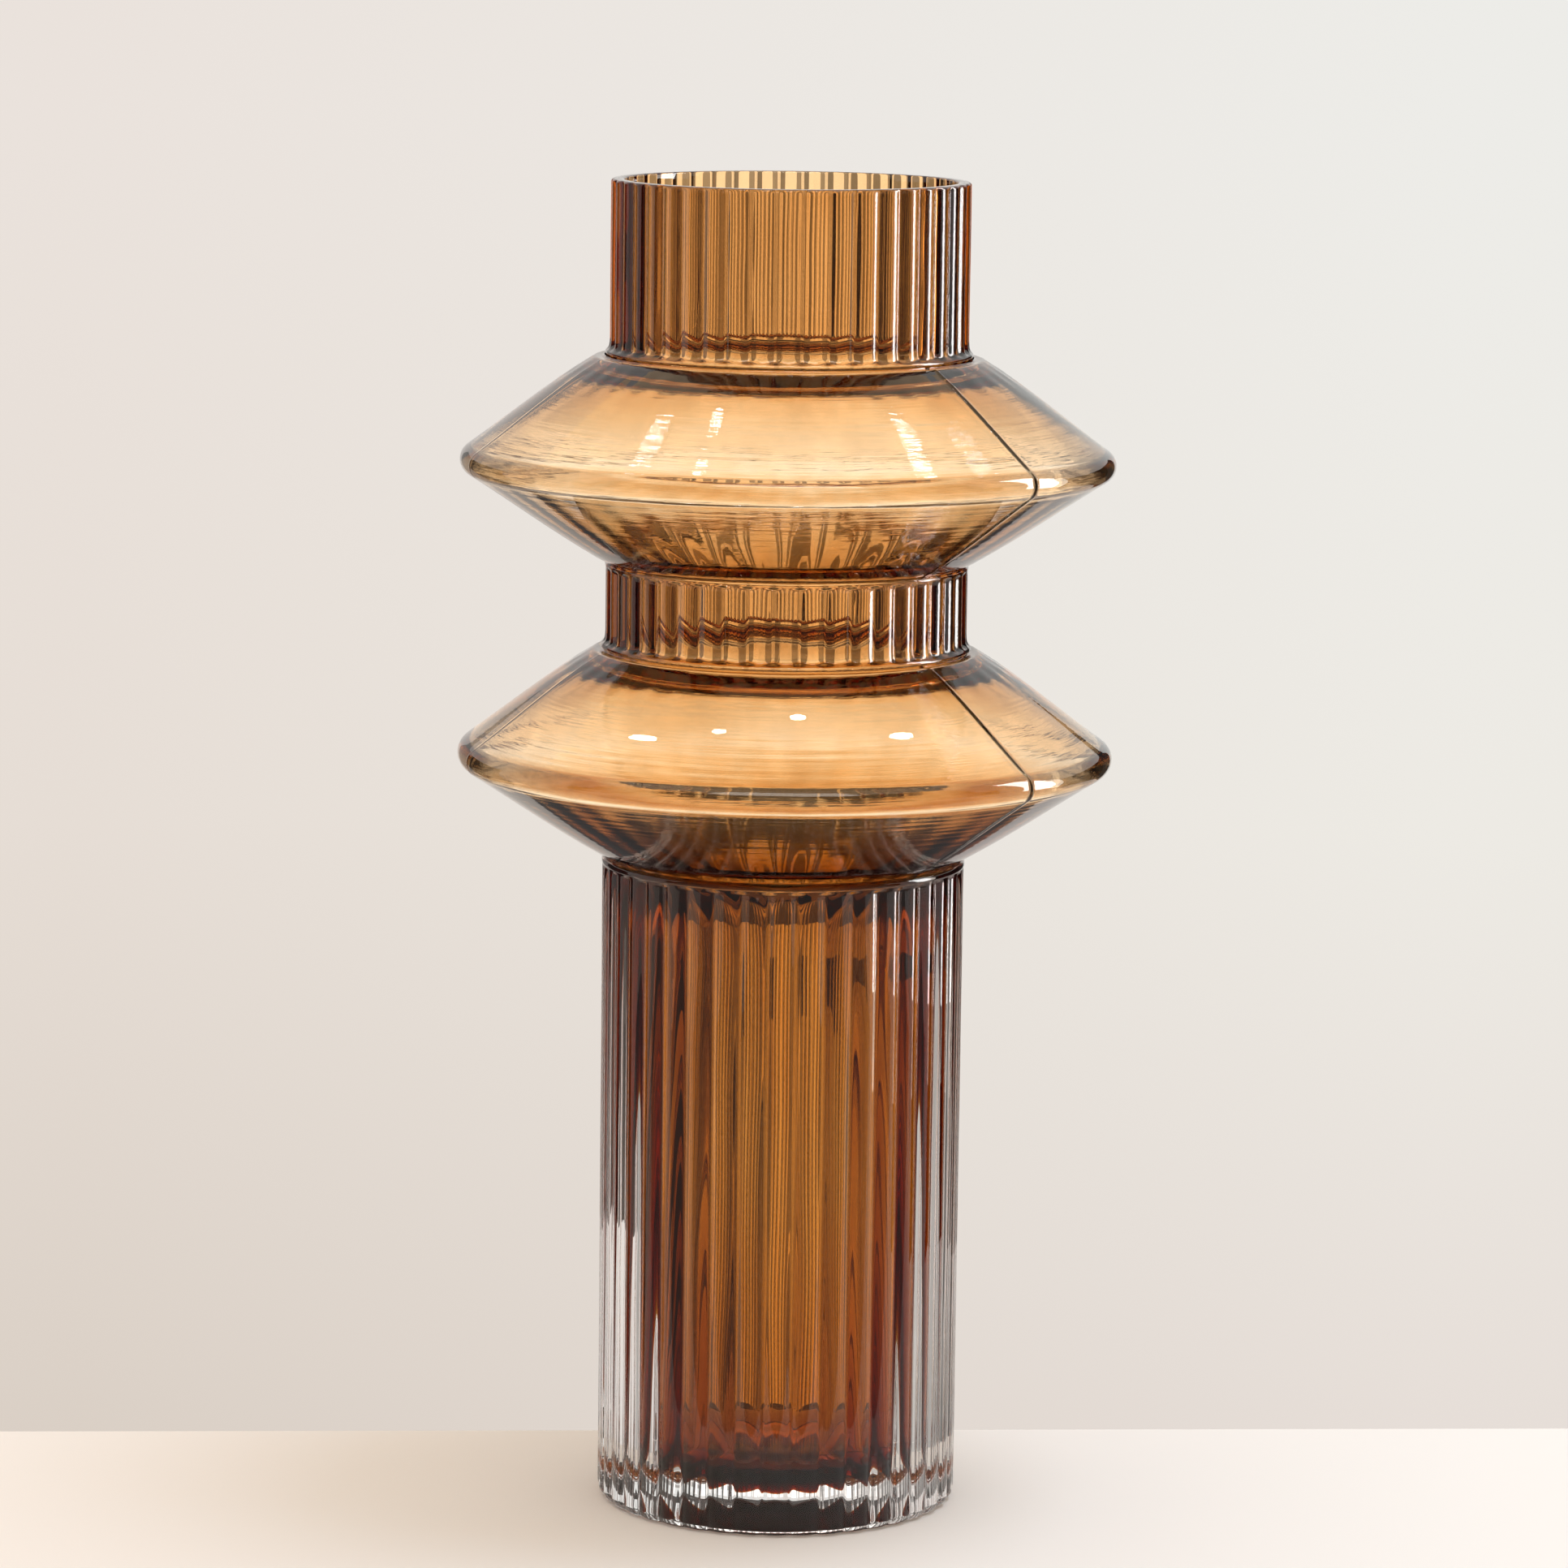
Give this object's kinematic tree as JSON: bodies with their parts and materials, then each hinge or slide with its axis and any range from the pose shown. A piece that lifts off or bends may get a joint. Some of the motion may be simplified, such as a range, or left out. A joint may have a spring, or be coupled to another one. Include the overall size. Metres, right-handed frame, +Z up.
{
  "type": "cased glass vase",
  "caption": "Tall hand blown glass vase: ribbed amber column and collar with sharp-edged discs between them, cased in clear glass on a thick clear foot.",
  "frame": {"origin": "centre of the foot, on the surface that the vase stands on", "axes": "+Z up along the vase's axis to the mouth; +Y away from the viewer, +X to the right"},
  "size_m": [0.1984, 0.1984, 0.4035],
  "materials": {
    "clear_glass": "gloss",
    "cognac_glass": "gloss",
    "amber_glass": "gloss",
    "honey_glass": "gloss"
  },
  "bodies": {
    "root": {"base_disc": "clear_glass", "column_casing": "clear_glass", "column_core": "cognac_glass", "lower_disc_casing": "clear_glass", "lower_disc_core": "honey_glass", "waist_casing": "clear_glass", "waist_core": "amber_glass", "upper_disc_casing": "clear_glass", "upper_disc_core": "honey_glass", "collar_casing": "clear_glass", "collar_core": "amber_glass"}
  },
  "joints": []
}
